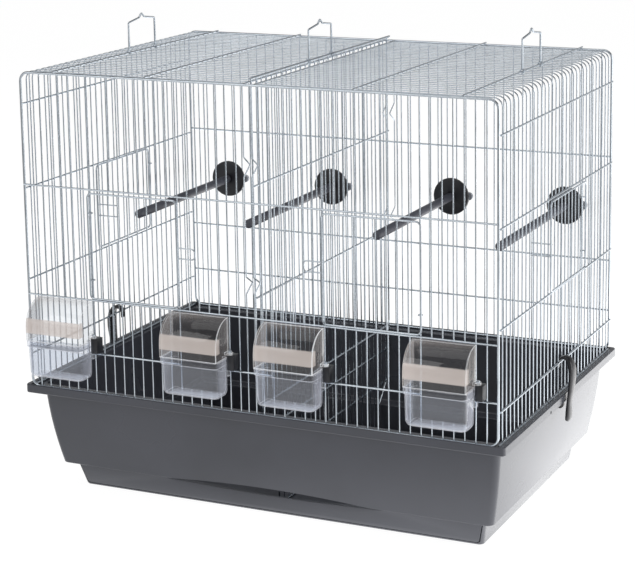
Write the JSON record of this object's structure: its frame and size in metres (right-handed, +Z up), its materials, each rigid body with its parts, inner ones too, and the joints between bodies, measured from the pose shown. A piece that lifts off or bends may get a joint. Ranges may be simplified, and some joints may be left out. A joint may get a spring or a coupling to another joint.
{
  "type": "canary breeding cage",
  "caption": "Wire breeding cage on a deep plastic base with a pull-out tray, removable centre grille, swing doors, outside feeders, perches and folding handles.",
  "frame": {"origin": "centre of the underside of the base, on the surface the cage stands on", "axes": "-Y towards the front with the feeders and the drawer, +X to the right seen from the front, +Z up"},
  "size_m": [0.6142, 0.4367, 0.554],
  "materials": {
    "zinc_wire": "bright zinc-plated steel wire",
    "base_plastic": "dark grey moulded plastic with a soft sheen",
    "black_plastic": "black moulded plastic",
    "perch_plastic": "dark grey textured plastic",
    "nut_plastic": "pale grey moulded plastic",
    "clear_plastic": "clear polystyrene"
  },
  "bodies": {
    "cage": {"base_shell": "base_plastic", "front_panel": "zinc_wire", "back_panel": "zinc_wire", "left_side_mesh": "zinc_wire", "right_side_mesh": "zinc_wire", "roof_left_mesh": "zinc_wire", "roof_right_mesh": "zinc_wire", "perch_rod_1": "perch_plastic", "perch_rod_2": "perch_plastic", "perch_rod_3": "perch_plastic", "perch_rod_4": "perch_plastic", "perch_disc_1": "black_plastic", "perch_disc_2": "black_plastic", "perch_disc_3": "black_plastic", "perch_disc_4": "black_plastic", "feeder_hinge_block_1": "black_plastic", "feeder_hinge_block_2": "black_plastic", "feeder_hinge_block_3": "black_plastic", "feeder_hinge_block_4": "black_plastic", "feeder_hinge_pin_1": "zinc_wire", "feeder_hinge_pin_2": "zinc_wire", "feeder_hinge_pin_3": "zinc_wire", "feeder_hinge_pin_4": "zinc_wire", "clip_keeper_left": "black_plastic", "clip_keeper_right": "black_plastic"},
    "tray": {"tray_front": "base_plastic", "tray_floor": "base_plastic", "tray_side_left": "base_plastic", "tray_lip_left": "base_plastic", "tray_side_right": "base_plastic", "tray_lip_right": "base_plastic"},
    "divider": {"divider_grille": "zinc_wire"},
    "bail_left": {"bail_left": "zinc_wire"},
    "bail_middle": {"bail_middle": "zinc_wire"},
    "bail_right": {"bail_right": "zinc_wire"},
    "front_door_left": {"front_door_left": "zinc_wire"},
    "front_door_right": {"front_door_right": "zinc_wire"},
    "side_door_left": {"side_door_left": "zinc_wire"},
    "side_door_right": {"side_door_right": "zinc_wire"},
    "feeder_1": {"feeder_cup_1": "clear_plastic", "feeder_hood_1": "clear_plastic"},
    "feeder_2": {"feeder_cup_2": "clear_plastic", "feeder_hood_2": "clear_plastic"},
    "feeder_3": {"feeder_cup_3": "clear_plastic", "feeder_hood_3": "clear_plastic"},
    "feeder_4": {"feeder_cup_4": "clear_plastic", "feeder_hood_4": "clear_plastic"},
    "nut_1": {"perch_nut_1": "nut_plastic"},
    "nut_2": {"perch_nut_2": "nut_plastic"},
    "nut_3": {"perch_nut_3": "nut_plastic"},
    "nut_4": {"perch_nut_4": "nut_plastic"},
    "clip_left": {"clip_left": "black_plastic"},
    "clip_right": {"clip_right": "black_plastic"}
  },
  "joints": [
    {"name": "tray_slide", "type": "slide", "parent": "cage", "child": "tray", "axis": [0, -1, 0], "range_m": [0, 0.28]},
    {"name": "divider_lift", "type": "slide", "parent": "cage", "child": "divider", "axis": [0, 0, 1], "range_m": [0, 0.48]},
    {"name": "bail_left_fold", "type": "hinge", "parent": "cage", "child": "bail_left", "pos_m": [-0.246, 0.0032, 0.506], "axis": [0, 1, 0], "range_deg": [-85, 85]},
    {"name": "bail_middle_fold", "type": "hinge", "parent": "divider", "child": "bail_middle", "pos_m": [0, -0.0086, 0.509], "axis": [0, 1, 0], "range_deg": [-85, 85]},
    {"name": "bail_right_fold", "type": "hinge", "parent": "cage", "child": "bail_right", "pos_m": [0.251, 0.0148, 0.506], "axis": [0, 1, 0], "range_deg": [-85, 85]},
    {"name": "front_door_left_swing", "type": "hinge", "parent": "cage", "child": "front_door_left", "pos_m": [-0.202, -0.1968, 0.307], "axis": [0, 0, -1], "range_deg": [0, 110]},
    {"name": "front_door_right_swing", "type": "hinge", "parent": "cage", "child": "front_door_right", "pos_m": [0.202, -0.1968, 0.307], "axis": [0, 0, 1], "range_deg": [0, 110]},
    {"name": "side_door_left_swing", "type": "hinge", "parent": "cage", "child": "side_door_left", "pos_m": [-0.2895, 0.0861, 0.314], "axis": [0, 0, -1], "range_deg": [0, 110]},
    {"name": "side_door_right_swing", "type": "hinge", "parent": "cage", "child": "side_door_right", "pos_m": [0.2895, 0.0861, 0.314], "axis": [0, 0, 1], "range_deg": [0, 110]},
    {"name": "feeder_1_swing", "type": "hinge", "parent": "cage", "child": "feeder_1", "pos_m": [-0.1976, -0.2068, 0.1935], "axis": [0, 0, 1], "range_deg": [0, 90]},
    {"name": "feeder_2_swing", "type": "hinge", "parent": "cage", "child": "feeder_2", "pos_m": [-0.022, -0.2068, 0.1935], "axis": [0, 0, 1], "range_deg": [0, 90]},
    {"name": "feeder_3_swing", "type": "hinge", "parent": "cage", "child": "feeder_3", "pos_m": [0.095, -0.2068, 0.1935], "axis": [0, 0, 1], "range_deg": [0, 90]},
    {"name": "feeder_4_swing", "type": "hinge", "parent": "cage", "child": "feeder_4", "pos_m": [0.271, -0.2068, 0.1935], "axis": [0, 0, 1], "range_deg": [0, 90]},
    {"name": "nut_1_turn", "type": "hinge", "parent": "cage", "child": "nut_1", "pos_m": [-0.23325, 0.2015, 0.31], "axis": [0, 1, 0], "continuous": true},
    {"name": "nut_2_turn", "type": "hinge", "parent": "cage", "child": "nut_2", "pos_m": [-0.08325, 0.2015, 0.31], "axis": [0, 1, 0], "continuous": true},
    {"name": "nut_3_turn", "type": "hinge", "parent": "cage", "child": "nut_3", "pos_m": [0.08325, 0.2015, 0.31], "axis": [0, 1, 0], "continuous": true},
    {"name": "nut_4_turn", "type": "hinge", "parent": "cage", "child": "nut_4", "pos_m": [0.23325, 0.2015, 0.31], "axis": [0, 1, 0], "continuous": true},
    {"name": "clip_left_swing", "type": "hinge", "parent": "cage", "child": "clip_left", "pos_m": [-0.2915, 0.00615, 0.1707], "axis": [0, 1, 0], "range_deg": [0, 60]},
    {"name": "clip_right_swing", "type": "hinge", "parent": "cage", "child": "clip_right", "pos_m": [0.2915, 0.00615, 0.1707], "axis": [0, -1, 0], "range_deg": [0, 60]}
  ]
}
